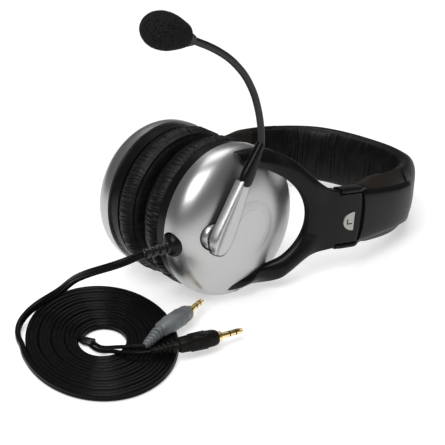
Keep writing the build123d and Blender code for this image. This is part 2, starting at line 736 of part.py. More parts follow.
CORD_NODES = ("strain_relief", "lead_cord", "cord_coil", "grey_branch", "black_branch",
              "grey_plug_body", "grey_plug_pin", "black_plug_body", "black_plug_pin")


def main():
    os.makedirs("parts", exist_ok=True)
    nodes = collect()
    for name, shape in nodes.items():
        export_step(shape, f"parts/{name}.step")
    boxes = [shape.bounding_box() for name, shape in nodes.items() if name not in CORD_NODES]
    low = [min(box.min.X for box in boxes), min(box.min.Y for box in boxes), min(box.min.Z for box in boxes)]
    high = [max(box.max.X for box in boxes), max(box.max.Y for box in boxes), max(box.max.Z for box in boxes)]
    print("nodes", len(nodes), "pitch", round(PITCH, 2), "lead exit", LEAD_EXIT)
    print("box", [round(v, 2) for v in low], [round(v, 2) for v in high])


main()
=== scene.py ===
import json
import random
from math import atan2, copysign, cos, exp, hypot, pi, radians, sin, sqrt

import bmesh
import bpy
from mathutils import Matrix, Vector
from mathutils import noise as terrain


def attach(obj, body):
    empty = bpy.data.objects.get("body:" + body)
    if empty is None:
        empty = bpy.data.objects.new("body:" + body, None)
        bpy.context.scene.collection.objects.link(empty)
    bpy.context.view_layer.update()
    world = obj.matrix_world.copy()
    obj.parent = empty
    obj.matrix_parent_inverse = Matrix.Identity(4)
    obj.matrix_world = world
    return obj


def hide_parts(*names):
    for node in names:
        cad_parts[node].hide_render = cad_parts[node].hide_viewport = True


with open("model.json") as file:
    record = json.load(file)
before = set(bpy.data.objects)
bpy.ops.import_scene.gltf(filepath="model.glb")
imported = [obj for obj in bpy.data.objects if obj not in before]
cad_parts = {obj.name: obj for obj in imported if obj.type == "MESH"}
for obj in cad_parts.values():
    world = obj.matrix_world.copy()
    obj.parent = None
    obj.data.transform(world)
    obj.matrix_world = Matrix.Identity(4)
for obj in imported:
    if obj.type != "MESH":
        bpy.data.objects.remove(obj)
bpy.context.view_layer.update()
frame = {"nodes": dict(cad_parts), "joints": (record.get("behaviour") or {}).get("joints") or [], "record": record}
NODES = frame["nodes"]
MM = 0.001
SIDES = ("left", "right")
random.seed(7)

# ------------ the worn frame
# U points from the cups to the top of the band, Y to the wearer's right, F the way the face looks.
JOINTS = {joint["name"]: joint for joint in frame["joints"]}
F_AXIS = Vector(JOINTS["left_cup_swivel"]["axis"]).normalized()
Y_AXIS = Vector((0, 1, 0))
U_AXIS = Y_AXIS.cross(F_AXIS)
SWIVEL_X = 4.0
SWIVEL_Y = 41.0
WORN_ORIGIN = Vector(JOINTS["left_cup_swivel"]["pos_m"]) - U_AXIS * SWIVEL_X * MM + Y_AXIS * SWIVEL_Y * MM
RIM_Y = 27.0            # rim plane of each cup, from the middle


def worn(u, y, f):
    """Row-frame point, in metres, of a place in the worn frame, in millimetres."""
    return WORN_ORIGIN + (U_AXIS * u + Y_AXIS * y + F_AXIS * f) * MM


def on_cup(side, u, f, out):
    """Row-frame point of a place on a cup: out is the distance outward from its rim plane."""
    sign = -1 if side == "left" else 1
    return worn(u, sign * (RIM_Y + out), f)


def mix(a, b, share):
    return a + (b - a) * share


def smooth_step(value):
    value = min(max(value, 0.0), 1.0)
    return value * value * (3 - 2 * value)


def spline_at(points, at, closed=False):
    """Catmull-Rom value at a station of a row of numbers or vectors; a closed row wraps round."""
    last = len(points) - 1
    i = int(at) if closed else min(int(at), last - 1)
    near = [(i + k) % len(points) if closed else min(max(i + k, 0), last) for k in (-1, 0, 1, 2)]
    a, b, c, d = (points[k] for k in near)
    t = at - i
    square = 2 * a - 5 * b + 4 * c - d
    cube = 3 * b - a - 3 * c + d
    return 0.5 * (2 * b + (c - a) * t + square * t * t + cube * t ** 3)


def curve_through(table, at):
    """Smooth value at a place in a table of (place, value)."""
    places, values = zip(*table)
    at = min(max(at, places[0]), places[-1])
    i = max(k for k in range(len(table) - 1) if places[k] <= at)
    return spline_at(values, i + (at - places[i]) / (places[i + 1] - places[i]))


def vectors(points):
    return [Vector(point) for point in points]


def metres(points):
    return [tuple(value * MM for value in point) for point in points]


def circle(j, sides):
    """Cosine and sine of a step round a circle."""
    angle = 2 * pi * j / sides
    return cos(angle), sin(angle)


# ------------ mesh helpers
UP = Vector((0, 0, 1))
SHARP = radians(50)
LEAST_RADIUS = 2e-5      # a turned piece never quite closes on its axis


def add_object(name, data):
    obj = bpy.data.objects.new(name, data)
    bpy.context.scene.collection.objects.link(obj)
    return obj


def new_mesh(name, points, faces, smooth=True):
    mesh = bpy.data.meshes.new(name)
    mesh.from_pydata([tuple(p) for p in points], [], faces)
    mesh.validate()
    for polygon in mesh.polygons:
        polygon.use_smooth = smooth
    work = bmesh.new()
    work.from_mesh(mesh)
    bmesh.ops.recalc_face_normals(work, faces=work.faces)
    for edge in work.edges:
        if len(edge.link_faces) == 2 and edge.calc_face_angle(0) > SHARP:
            edge.smooth = False
    work.to_mesh(mesh)
    work.free()
    return add_object(name, mesh)


def lattice(name, rows, columns, place, close_rows=False, cap=False, smooth=True):
    """Tube of quads from place(row, column): columns wrap round, and rows wrap or are capped if asked."""
    points = [place(i, j) for i in range(rows) for j in range(columns)]
    faces = []
    for i in range(rows if close_rows else rows - 1):
        for j in range(columns):
            beside = (j + 1) % columns
            below = (i + 1) % rows * columns
            faces.append((i * columns + j, i * columns + beside, below + beside, below + j))
    if cap:
        faces.append(tuple(range(columns)))
        faces.append(tuple(range((rows - 1) * columns, rows * columns)))
    return new_mesh(name, points, faces, smooth)


def turned_piece(name, start, axis, profile, sides, smooth=True):
    """Solid of revolution: profile is (distance along the axis, radius), in metres."""
    across = axis.orthogonal().normalized()
    other = axis.cross(across)

    def place(i, j):
        along, radius = profile[i]
        x, y = circle(j, sides)
        return start + axis * along + (across * x + other * y) * max(radius, LEAST_RADIUS)

    return lattice(name, len(profile), sides, place, cap=True, smooth=smooth)


def prism(name, top, low):
    """Flat-sided body between two outlines with as many points."""
    count = len(top)
    faces = [tuple(range(count)), tuple(range(2 * count - 1, count - 1, -1))]
    faces += [(k, (k + 1) % count, count + (k + 1) % count, count + k) for k in range(count)]
    return new_mesh(name, top + low, faces, smooth=False)


def joined(name, pieces):
    """One mesh object made of several."""
    work = bmesh.new()
    for piece in pieces:
        work.from_mesh(piece.data)
        bpy.data.objects.remove(piece)
    mesh = bpy.data.meshes.new(name)
    work.to_mesh(mesh)
    work.free()
    return add_object(name, mesh)


def bevelled(obj, width, segments, angle):
    """Rounds the sharp edges of a piece; the angle is in degrees."""
    bevel = obj.modifiers.new("edge", "BEVEL")
    bevel.width = width
    bevel.segments = segments
    bevel.limit_method = "ANGLE"
    bevel.angle_limit = radians(angle)


def soft_bar(name, stations, sides):
    """Bar through superellipse sections: (centre, across, up, half width, half height, power)."""
    def place(i, j):
        centre, across, up, half_width, half_height, power = stations[i]
        x, y = (copysign(abs(value) ** (2 / power), value) for value in circle(j + 0.5, sides))
        return centre + across * x * half_width * MM + up * y * half_height * MM

    return lattice(name, len(stations), sides, place, cap=True)


def straight_bar(name, start, along, across, up, forms, power, sides):
    """Soft bar on a straight line: forms are (share of along, half width, half height)."""
    stations = [(start + along * at, across, up, wide, high, power) for at, wide, high in forms]
    return soft_bar(name, stations, sides)


# ------------ materials
NOISE_LOW = 0.3          # the usual reach of a noise value
NOISE_HIGH = 0.7


class Shader:
    """A node material with a few short ways to add detail."""

    def __init__(self, name, color, roughness, **sockets):
        self.material = bpy.data.materials.new(name)
        self.material.use_nodes = True
        self.tree = self.material.node_tree
        self.surface = self.tree.nodes["Principled BSDF"]
        self.fill(self.surface, Base_Color=(*color, 1), Roughness=roughness, **sockets)
        self.place = self.tree.nodes.new("ShaderNodeTexCoord").outputs["Object"]
        self.normal = None

    def fill(self, node, **inputs):
        """Links or sets a node's inputs; an underscore stands for a space in their names."""
        for key, value in inputs.items():
            socket = node.inputs[key.replace("_", " ")]
            if isinstance(value, bpy.types.NodeSocket):
                self.tree.links.new(value, socket)
            else:
                socket.default_value = value

    def node(self, kind, **inputs):
        node = self.tree.nodes.new(kind)
        self.fill(node, **inputs)
        return node

    def noise(self, scale, detail, roughness=0.55):
        node = self.node("ShaderNodeTexNoise", Vector=self.place, Scale=scale, Detail=detail,
                         Roughness=roughness)
        return node.outputs["Fac"]

    def cells(self, scale):
        return self.node("ShaderNodeTexVoronoi", Vector=self.place, Scale=scale).outputs["Distance"]

    def bump(self, height, distance, strength):
        node = self.node("ShaderNodeBump", Height=height, Distance=distance, Strength=strength)
        if self.normal:
            self.fill(node, Normal=self.normal)
        self.normal = node.outputs["Normal"]
        self.fill(self.surface, Normal=self.normal)

    def roughness(self, value, low, high):
        node = self.node("ShaderNodeMapRange", Value=value, From_Min=NOISE_LOW, From_Max=NOISE_HIGH,
                         To_Min=low, To_Max=high)
        self.fill(self.surface, Roughness=node.outputs["Result"])

    def colour(self, value, dark, light, low=NOISE_LOW, high=NOISE_HIGH):
        ramp = self.node("ShaderNodeValToRGB", Fac=value)
        for element, position, color in zip(ramp.color_ramp.elements, (low, high), (dark, light)):
            element.position = position
            element.color = (*color, 1)
        self.fill(self.surface, Base_Color=ramp.outputs["Color"])

    def vary(self, tint, gloss, relief):
        """Noise in colour, roughness and relief: each row is scale and detail, then the noise's reach."""
        for add, row in ((self.colour, tint), (self.roughness, gloss), (self.bump, relief)):
            add(self.noise(*row[:2]), *row[2:])
        return self.material


def silver_paint():
    """Satin silver paint on plastic: fine flakes under a thin clear coat."""
    shader = Shader("silver_paint", (0.47, 0.475, 0.47), 0.3, Metallic=0.95, Coat_Weight=0.1,
                    Coat_Roughness=0.15)
    return shader.vary((1800, 2, (0.455, 0.46, 0.455), (0.485, 0.49, 0.485)), (40, 3, 0.33, 0.37),
                       (5200, 1, 0.000004, 0.2))


def black_plastic():
    """Moulded black plastic with a fine spark texture."""
    return Shader("black_plastic", (0.004, 0.004, 0.0045), 0.32, Specular_IOR_Level=0.16).vary(
        (45, 4, (0.003, 0.003, 0.0035), (0.006, 0.006, 0.0065)), (120, 4, 0.28, 0.35),
        (1800, 2, 0.00003, 0.35))


def dark_liner():
    """Brownish black plastic of the inner plates."""
    return Shader("dark_liner", (0.012, 0.010, 0.008), 0.5, Specular_IOR_Level=0.26).vary(
        (60, 4, (0.011, 0.0085, 0.0065), (0.017, 0.0135, 0.0105)), (150, 3, 0.42, 0.55),
        (1500, 2, 0.00004, 0.4))


def leatherette():
    """Soft black leatherette: pebbled grain and small creases."""
    shader = Shader("leatherette", (0.004, 0.004, 0.004), 0.42, Specular_IOR_Level=0.16)
    shader.colour(shader.noise(90, 5), (0.0025, 0.0025, 0.0026), (0.006, 0.006, 0.006))
    shader.roughness(shader.noise(220, 4), 0.36, 0.52)
    shader.bump(shader.cells(1300), 0.00006, 0.5)
    shader.bump(shader.noise(420, 5, 0.6), 0.00022, 0.5)
    return shader.material


def foam():
    """Open-cell black foam."""
    shader = Shader("foam", (0.008, 0.008, 0.008), 0.95, Specular_IOR_Level=0.15)
    shader.colour(shader.cells(900), (0.016, 0.015, 0.0155), (0.004, 0.004, 0.004), 0.1, 0.7)
    shader.bump(shader.cells(1100), 0.0004, 0.8)
    shader.bump(shader.noise(700, 4), 0.0003, 0.6)
    return shader.material


def knit_cloth():
    """Thin black knit over the driver."""
    shader = Shader("knit_cloth", (0.010, 0.010, 0.010), 0.9, Sheen_Weight=0.2)
    shader.bump(shader.cells(1500), 0.0002, 0.7)
    shader.colour(shader.noise(300, 3), (0.007, 0.007, 0.007), (0.016, 0.016, 0.016))
    return shader.material


def cord_jacket(name, color, roughness):
    """Glossy PVC jacket, slightly uneven along its length."""
    light = tuple(c * 1.35 for c in color)
    return Shader(name, color, roughness, Specular_IOR_Level=0.07).vary(
        (160, 4, color, light), (260, 4, roughness - 0.04, roughness + 0.12), (380, 4, 0.00012, 0.3))


def rubber(name, color, roughness):
    """Moulded rubber with a faint bloom."""
    light = tuple(c * 1.5 for c in color)
    return Shader(name, color, roughness, Specular_IOR_Level=0.36).vary(
        (110, 5, color, light), (300, 4, roughness - 0.06, roughness + 0.1), (1600, 3, 0.00005, 0.4))


def metal(name, color, roughness):
    """Plain metal with light wear."""
    dark = tuple(c * 0.85 for c in color)
    return Shader(name, color, roughness, Metallic=1.0).vary(
        (400, 4, dark, color), (500, 4, roughness - 0.05, roughness + 0.08), (2500, 2, 0.00002, 0.3))


def studio_floor():
    """White floor that also glows a little, so that it stays white in the shade."""
    shader = Shader("studio_floor", (0.62, 0.62, 0.62), 0.8, Specular_IOR_Level=0.1,
                    Emission_Color=(1, 1, 1, 1), Emission_Strength=0.55)
    shader.bump(shader.noise(40, 3), 0.0001, 0.1)
    return shader.material


LOOKS = {
    "silver_plastic": silver_paint(),
    "black_plastic": black_plastic(),
    "dark_liner": dark_liner(),
    "leatherette": leatherette(),
    "foam": foam(),
    "black_cloth": knit_cloth(),
}
for plain, make, color, roughness in (
    ("black_rubber", rubber, (0.006, 0.006, 0.006), 0.34),
    ("neck_sheath", rubber, (0.006, 0.006, 0.006), 0.42),
    ("grey_plug", rubber, (0.13, 0.14, 0.145), 0.36),
    ("diaphragm_film", rubber, (0.35, 0.33, 0.28), 0.3),
    ("nylon", rubber, (0.6, 0.58, 0.54), 0.5),
    ("black_cord", cord_jacket, (0.004, 0.004, 0.004), 0.26),
    ("grey_cord", cord_jacket, (0.007, 0.007, 0.0075), 0.28),
    ("black_plug", cord_jacket, (0.007, 0.0065, 0.006), 0.26),
    ("gold", metal, (1.0, 0.76, 0.36), 0.2),
    ("screw_steel", metal, (0.035, 0.035, 0.037), 0.34),
    ("spring_steel", metal, (0.42, 0.42, 0.44), 0.32),
    ("magnet_steel", metal, (0.5, 0.5, 0.52), 0.3),
    ("silver_badge", metal, (0.42, 0.41, 0.39), 0.42),
):
    LOOKS[plain] = make(plain, color, roughness)
SLOT_OF = {entry["node"]: entry["material_slot"] for entry in frame["record"]["subparts"]}


def wear(obj, slot, body, *nodes):
    """Gives a piece its material and slot and its body, and hides the CAD nodes that it stands for."""
    obj.data.materials.append(LOOKS[slot])
    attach(obj, body)
    if nodes:
        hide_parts(*nodes)
    return obj


def dress_cad():
    """Every CAD node gets its slot's material; hard shells get rounded edges."""
    for name, node in NODES.items():
        look = LOOKS[SLOT_OF[name]]
        if not node.material_slots:
            node.data.materials.append(look)
        for entry in node.material_slots:
            entry.material = look
        if name.endswith(("ridge", "housing")):
            bevelled(node, 0.5 * MM, 3, 35)


# ------------ cords: routes are in millimetres
LEAD_WIDTH = 5.0
LEAD_STRAND = 3.4
STRAND = 2.4
LEAD_EXIT = on_cup("left", -67.0, -8.6, 4.2)
LEAD_ROUTE = [
    (-126.2, -30.4, 50.0), (-134.1, -26.0, 48.0), (-139.2, -17.5, 44.1), (-141.3, -7.3, 38.6),
    (-141.4, 3.5, 31.8), (-140.9, 11.3, 25.9), (-142.6, 18.2, 19.2), (-146.6, 24.0, 14.3),
    (-152.8, 27.9, 10.8), (-160.5, 29.0, 7.8), (-168.0, 27.0, 5.3), (-174.2, 21.8, 3.7),
    (-178.5, 14.7, 2.7), (-181.4, 5.7, 2.5),
]
GREY_ROUTE = [
    (-149.2, -17.8, 1.4), (-150.8, -25.6, 1.6), (-149.5, -32.5, 3.1), (-147.2, -40.0, 5.9),
    (-143.6, -47.0, 7.4), (-138.0, -54.0, 8.4),
]
BLACK_ROUTE = [
    (-152.6, -19.2, 1.6), (-154.2, -27.1, 1.8), (-153.4, -34.7, 3.3), (-151.6, -42.4, 6.2),
    (-149.4, -50.6, 7.4), (-145.7, -57.1, 8.4), (-140.2, -62.0, 9.0),
]
INNER_END = [(-151.9, -10.2, 2.5), (-153.5, -12.8, 2.4), (-152.9, -15.8, 2.1), (-151.4, -18.4, 1.8)]
SPLITTER_ENDS = [(-153.2, -14.9, 2.3), (-150.4, -21.0, 1.9)]
SPLITTER_FORMS = ((0, 2.4, 1.5), (0.06, 3.0, 1.85), (0.94, 3.4, 1.85), (1, 2.9, 1.5))
COIL_CENTRE = Vector((-145.3, -20.4))
COIL_LONG = 65.3
COIL_SHORT = 45.8
COIL_TURN = radians(66.6)
HOLE_CENTRE = Vector((-146.1, -25.2))
HOLE_LONG = 17.0
HOLE_SHORT = 12.0
COIL_TURNS = 13
COIL_START_DEG = 90.0
COIL_END_DEG = 38.0
POINTS_PER_TURN = 18
EDGE_MARGIN = 1.6        # centre of the outermost turn inside the coil's outline
COIL_LIFT = 0.02         # between the floor and the lead


def coil_points():
    """Centreline of the wound lead: ellipses that shrink towards the hole, a little uneven."""
    steps = COIL_TURNS * POINTS_PER_TURN
    total = radians(COIL_TURNS * 360.0 + COIL_END_DEG - COIL_START_DEG)
    way = Vector((cos(COIL_TURN), sin(COIL_TURN)))
    points = []
    for i in range(steps + 1):
        share = i / steps
        angle = radians(COIL_START_DEG) + total * share
        turn = share * COIL_TURNS
        loose = 0.32 * sin(angle * 2 + turn * 1.9) + 0.25 * sin(angle + turn * 4.1)
        along = (mix(COIL_LONG - EDGE_MARGIN, HOLE_LONG + EDGE_MARGIN, share) + loose) * cos(angle)
        across = (mix(COIL_SHORT - EDGE_MARGIN, HOLE_SHORT + EDGE_MARGIN, share) + loose) * sin(angle)
        spot = COIL_CENTRE.lerp(HOLE_CENTRE, share) + way * along + way.orthogonal() * across
        points.append((*spot, LEAD_WIDTH / 2 + COIL_LIFT))
    return points


def new_spline(data, kind, points):
    spline = data.splines.new(kind)
    spline.points.add(len(points) - 1)
    for point, place in zip(spline.points, points):
        point.co = (*place, 1)
    return spline


def nurbs_curve(name, points):
    """One open NURBS spline that follows control points given in metres."""
    data = bpy.data.curves.new(name, "CURVE")
    data.dimensions = "3D"
    data.twist_mode = "Z_UP"
    data.resolution_u = 6
    data.use_fill_caps = True
    spline = new_spline(data, "NURBS", points)
    spline.order_u = 3
    spline.use_endpoint_u = True
    return add_object(name, data)


def twin_profile():
    """Section of the flat twin lead: two round strands side by side, joined by a web."""
    radius = LEAD_STRAND / 2
    offset = (LEAD_WIDTH - LEAD_STRAND) / 2
    steps = 10
    outline = []
    for sign, first in ((1, -60), (-1, 120)):
        for k in range(steps + 1):
            angle = radians(first + 300 * k / steps)
            outline.append((radius * cos(angle), sign * offset + radius * sin(angle), 0))
    data = bpy.data.curves.new("twin_profile", "CURVE")
    data.dimensions = "2D"
    data.fill_mode = "NONE"
    new_spline(data, "POLY", metres(outline)).use_cyclic_u = True
    obj = add_object("twin_profile", data)
    obj.hide_render = True
    obj.hide_viewport = True
    return obj


def curve_length(obj):
    """Length of a curve's own line, with its thickness left out."""
    data = obj.data.copy()
    data.bevel_mode = "ROUND"
    data.bevel_depth = 0
    bare = add_object("bare", data)
    bpy.context.view_layer.update()
    mesh = bpy.data.meshes.new_from_object(bare)
    length = sum((b.co - a.co).length for a, b in zip(mesh.vertices, mesh.vertices[1:]))
    bpy.data.objects.remove(bare)
    bpy.data.meshes.remove(mesh)
    return length


def main_lead():
    """The flat twin lead from the strain relief through every turn of the coil."""
    points = [tuple(LEAD_EXIT)] + metres(LEAD_ROUTE + coil_points() + INNER_END)
    obj = nurbs_curve("lead", points)
    obj.data.bevel_mode = "OBJECT"
    obj.data.bevel_object = twin_profile()
    return wear(obj, "black_cord", "left_cup", "lead_cord", "cord_coil")


def splitter():
    """Flat moulded sleeve where the twin lead parts into its two strands."""
    start, end = vectors(metres(SPLITTER_ENDS))
    across = (end - start).cross(UP).normalized()
    up = across.cross((end - start).normalized())
    obj = straight_bar("cord_splitter", start, end - start, across, up, SPLITTER_FORMS, 2.6, 32)
    return wear(obj, "black_rubber", "left_cup")


def branch(name, route, slot, node):
    """Round strand from the end of the coil to its plug."""
    obj = nurbs_curve(name, metres(route))
    obj.data.bevel_depth = STRAND / 2 * MM
    obj.data.bevel_resolution = 6
    return wear(obj, slot, "left_cup", node)


# A rib's section: (share of its width, share of its radius).
RELIEF_RIB = ((0, 0.62), (0.06, 0.96), (0.25, 1), (0.75, 1), (0.94, 0.96), (1, 0.62))
RELIEF_RIBS = 6
TAIL_RIB = ((0, 0.68), (0.12, 1), (0.88, 1), (1, 0.68))
TAIL_RIBS = 5
TAIL_RIB_START = 0.1
TAIL_RIB_REACH = 0.84


def rib(shape, at, width, radius):
    return [(at + along * width, radius * share) for along, share in shape]


def strain_relief():
    """Tapered rubber sleeve with six open ribs over the first stretch of the lead."""
    start = on_cup("left", -40.0, -5.8, 8.2)
    axis = LEAD_EXIT - start
    length = axis.length / MM
    profile = [(0.0, 3.4)]
    for k in range(RELIEF_RIBS):
        share = (k + 0.12) / RELIEF_RIBS
        profile += rib(RELIEF_RIB, share * length, 0.58 / RELIEF_RIBS * length, 3.95 - 1.15 * share)
    profile += [(length * 0.97, 2.6), (length, 2.3)]
    obj = turned_piece("cable_relief", start, axis.normalized(), metres(profile), 40)
    return wear(obj, "black_rubber", "left_cup", "strain_relief")


def grip_tail(start, run):
    """Tapered row of open ribs that guards the strand."""
    length = run.length / MM
    profile = [(0.0, 1.5), (0.3, 1.9)]
    for k in range(TAIL_RIBS):
        at = (TAIL_RIB_START + TAIL_RIB_REACH * k / TAIL_RIBS) * length
        width = 0.52 * TAIL_RIB_REACH / TAIL_RIBS * length
        profile += rib(TAIL_RIB, at, width, 2.5 + 1.25 * k / (TAIL_RIBS - 1))
    profile.append((length + 0.6, 2.9))
    return turned_piece("tail", start, run.normalized(), metres(profile), 36)


def plug_grip(name, points, slot, node):
    """Moulded block grip with side tabs and steps, and a tail of open ribs."""
    tail, waist, nose = vectors(metres(points))
    axis = (nose - waist).normalized()
    length = (nose - waist).length / MM
    side = axis.cross(UP).normalized()
    up = side.cross(axis)
    forms = ((0.0, 2.9, 2.9, 2.2), (0.3, 3.9, 3.7, 2.4), (1.4, 4.4, 4.1, 2.8), (7.0, 4.55, 4.3, 3.0),
             (7.3, 4.9, 4.6, 3.2), (length - 7.8, 5.0, 4.7, 3.4), (length - 7.5, 4.7, 4.4, 3.2),
             (length - 3.4, 4.6, 4.3, 3.0), (length - 1.2, 4.2, 4.0, 2.6), (length - 0.3, 3.6, 3.5, 2.3),
             (length, 2.9, 2.9, 2.0))
    pieces = [soft_bar("grip", [(waist + axis * at * MM, side, up, *form) for at, *form in forms], 48)]
    for sign, at, reach in ((1, length - 9.5, 3.4), (-1, length - 11.5, 2.6)):
        spot = waist + (axis * at + side * sign * 4.6) * MM
        tab = ((-reach, 0.2, 1.4), (-reach + 0.3, 0.8, 2.2), (reach - 0.3, 0.8, 2.2), (reach, 0.2, 1.4))
        pieces.append(straight_bar("tab", spot, axis * MM, side, up, tab, 4.0, 24))
    pieces.append(grip_tail(tail, waist - tail))
    return wear(joined(name, pieces), slot, "left_cup", node)


PIN_R = 1.75
PIN_PROFILE = [
    (-1.0, 2.9), (1.4, 3.0), (2.0, 2.7), (2.0, PIN_R), (13.6, PIN_R), (14.0, 1.45), (14.4, 1.15), (14.8, 1.5),
    (15.4, 1.5), (16.3, 0.7), (16.4, 0.0),
]
RING_PLACES = (7.0, 11.0)
RING_LONG = 0.7


def plug_pin(name, points, node):
    """Gold jack pin: shoulder, three contacts and two dark rings, and the pointed tip."""
    nose, tip = vectors(metres(points))
    axis = (tip - nose).normalized()
    pin = turned_piece(name, nose, axis, metres(PIN_PROFILE), 36)
    bevelled(pin, 0.12 * MM, 2, 25)
    rings = []
    for at in RING_PLACES:
        end = at + RING_LONG
        band = [(at, PIN_R * 0.99), (at, PIN_R * 1.02), (end, PIN_R * 1.02), (end, PIN_R * 0.99)]
        rings.append(turned_piece("ring", nose, axis, metres(band), 36, smooth=False))
    rings = joined(name + "_rings", rings)
    return [wear(pin, "gold", "left_cup", node), wear(rings, "black_plug", "left_cup")]


GREY_PLUG = [(-138.0, -54.0, 8.4), (-123.4, -49.4, 9.8), (-96.6, -44.5, 9.4), (-79.1, -38.4, 8.0)]
BLACK_PLUG = [(-140.2, -62.0, 9.0), (-126.3, -68.8, 9.6), (-102.8, -76.4, 8.0), (-88.5, -79.8, 7.1)]


def cords():
    """The lead and its two strands, each with the pieces at its ends."""
    guards = [strain_relief(), splitter()]
    lead = main_lead()
    curve_length(lead)
    for name, route, points in (("grey", GREY_ROUTE, GREY_PLUG), ("black", BLACK_ROUTE, BLACK_PLUG)):
        strand = branch(f"{name}_strand", route, f"{name}_cord", f"{name}_branch")
        grip = plug_grip(f"{name}_plug", points[:3], f"{name}_plug", f"{name}_plug_body")
        pin = plug_pin(f"{name}_pin", points[2:], f"{name}_plug_pin")
        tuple(metres(route)[0])
        curve_length(strand)


# ------------ ear cushions
HOUSING_BACK = -8.05
CUSHION_PROFILE = [      # (radius, distance outward from the rim plane), round the section
    (41.0, -8.1), (44.6, -8.2), (46.2, -9.2), (47.3, -11.5), (47.7, -14.2), (47.2, -17.0), (45.9, -19.6),
    (43.6, -21.8), (40.6, -23.2), (37.0, -23.9), (33.4, -23.6), (30.0, -22.4), (27.4, -20.2), (25.9, -17.2),
    (25.3, -13.8), (25.6, -10.6), (27.0, -8.4), (30.5, -8.1),
]
SEAM_AT = 6.4            # station of the sewn seam between side wall and face
WALL_AT = 4.0            # stations where the gathers are deepest
FACE_AT = 10.0
GATHERS = 150
GATHER_SEED = {"left": 11, "right": 23}
DEEP_SHARE = 0.12        # of the gathers


def crease_set(count, seed):
    """Angles, widths, depths, reach and skew of the gathers in a sewn ring."""
    source = random.Random(seed)
    creases = []
    for k in range(count):
        deep = source.random() < DEEP_SHARE
        creases.append((2 * pi * (k + source.uniform(-0.38, 0.38)) / count,
                        source.uniform(0.006, 0.011) * (1.6 if deep else 1.0),
                        source.uniform(0.9, 1.4) if deep else source.uniform(0.3, 0.75),
                        source.uniform(0.55, 1.0), source.uniform(-0.05, 0.05)))
    return creases


def gather_depths(side, rows, columns):
    """How far the gathers sink the cushion at each point of its lattice."""
    depth = [[0.0] * columns for i in range(rows)]
    per_radian = columns / (2 * pi)
    for angle, width, deep, reach, skew in crease_set(GATHERS, GATHER_SEED[side]):
        span = int(width * 4 * per_radian) + 1
        for i in range(rows):
            station = len(CUSHION_PROFILE) * i / rows
            on_wall = exp(-((station - WALL_AT) / (3.0 * reach)) ** 2)
            on_face = 0.9 * exp(-((station - FACE_AT) / (4.2 * reach)) ** 2)
            strength = deep * max(on_wall, on_face)
            middle = (angle + skew * (station - 6) / 6) * per_radian
            for j in range(int(middle) - span, int(middle) + span + 1):
                offset = (j - middle) / per_radian / width
                depth[i][j % columns] -= strength * exp(-offset * offset)
    return depth


def ear_cushion(side):
    """Ring cushion: rounded section, sewn seam, and leatherette gathered across it."""
    rows = 72
    columns = 900
    section = vectors(CUSHION_PROFILE)
    depth = gather_depths(side, rows, columns)

    def place(i, j):
        station = len(section) * i / rows
        radius, out = spline_at(section, station, closed=True)
        ahead = spline_at(section, station + 0.05, closed=True)
        normal = Vector((out - ahead.y, ahead.x - radius)).normalized()
        x, y = circle(j, columns)
        soft = terrain.noise(Vector((x * 5, y * 5, station * 0.35 + len(side))))
        swell = depth[i][j] * 0.62 + 0.35 * soft
        swell -= 0.9 * exp(-((station - SEAM_AT) / 0.16) ** 2)
        swell += 0.25 * exp(-((station - SEAM_AT - 0.42) / 0.2) ** 2)
        if out > -9.5:
            swell = min(swell, 0.0)
        radius -= normal.x * swell
        return on_cup(side, radius * x, radius * y, min(out - normal.y * swell, HOUSING_BACK))

    obj = lattice(f"{side}_cushion", rows, columns, place, close_rows=True)
    wear(obj, "leatherette", f"{side}_cup", f"{side}_ear_cushion")


# ------------ headband
ARCH_BASE = 100.0
ARCH_RISE = 71.0
ARCH_HALF_WIDTH = 71.0
ARCH_POWER = 2.4
ARCH_TOE_IN = 0.0018
KNUCKLE_X = 75.0
COVER_END_X = 131.0


def arch_points():
    """Outer line of the left half of the arch, from the knuckle to the top."""
    points = []
    straight = 12
    for i in range(straight):
        u = mix(KNUCKLE_X, ARCH_BASE, i / straight)
        points.append(Vector((u, -(ARCH_HALF_WIDTH - ARCH_TOE_IN * (ARCH_BASE - u) ** 2))))
    curved = 90
    for i in range(curved + 1):
        angle = radians(90.0 * i / curved)
        across = ARCH_HALF_WIDTH * max(cos(angle), 0.0) ** (2 / ARCH_POWER)
        rise = ARCH_RISE * sin(angle) ** (2 / ARCH_POWER)
        points.append(Vector((ARCH_BASE + rise, -across)))
    return points


ARCH = arch_points()
ARCH_RUN = [0.0]
for first, second in zip(ARCH, ARCH[1:]):
    ARCH_RUN.append(ARCH_RUN[-1] + (second - first).length)
HALF_RUN = ARCH_RUN[-1]


def run_at(u):
    """Running length of the arch at its nearest point to a height u."""
    return min(zip(ARCH_RUN, ARCH), key=lambda entry: abs(entry[1].x - u))[0]


MOUTH_RUN = run_at(COVER_END_X)


def arch_place(side, run, offset, across):
    """Row-frame point at a running length of the whole arch, moved outward by offset."""
    mirrored = run > HALF_RUN
    run = max(min(run, 2 * HALF_RUN - run), 0.0)
    i = max(k for k in range(len(ARCH_RUN) - 1) if ARCH_RUN[k] <= run)
    share = (run - ARCH_RUN[i]) / (ARCH_RUN[i + 1] - ARCH_RUN[i])
    along = (ARCH[i + 1] - ARCH[i]).normalized()
    u, y = ARCH[i].lerp(ARCH[i + 1], share) + Vector((along.y, -along.x)) * offset
    return worn(u, y if (side == "left") != mirrored else -y, across)


